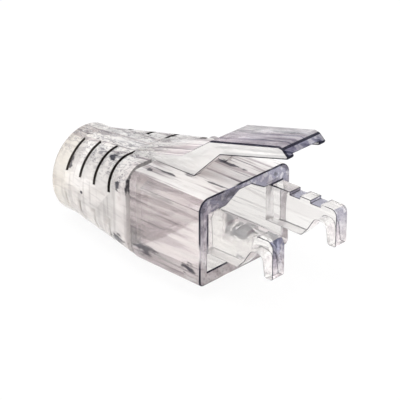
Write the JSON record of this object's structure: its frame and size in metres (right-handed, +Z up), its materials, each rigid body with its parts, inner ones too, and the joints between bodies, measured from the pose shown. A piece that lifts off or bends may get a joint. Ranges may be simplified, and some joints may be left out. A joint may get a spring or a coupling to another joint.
{
  "type": "strain relief boot",
  "caption": "Clear one-piece strain relief boot for a modular network plug, with a slotted tail, a latch guard and two hooked arms.",
  "frame": {"origin": "centre of the plug mouth, in the hood's front plane", "axes": "+X forward along the plug's way, from the cable end to the hooks; +Y across; +Z up, to the side of the latch guard"},
  "size_m": [0.0351, 0.0142, 0.0192],
  "materials": {
    "clear_plastic": "clear, glossy"
  },
  "bodies": {
    "root": {"strain_relief_boot": "clear_plastic"}
  },
  "joints": []
}
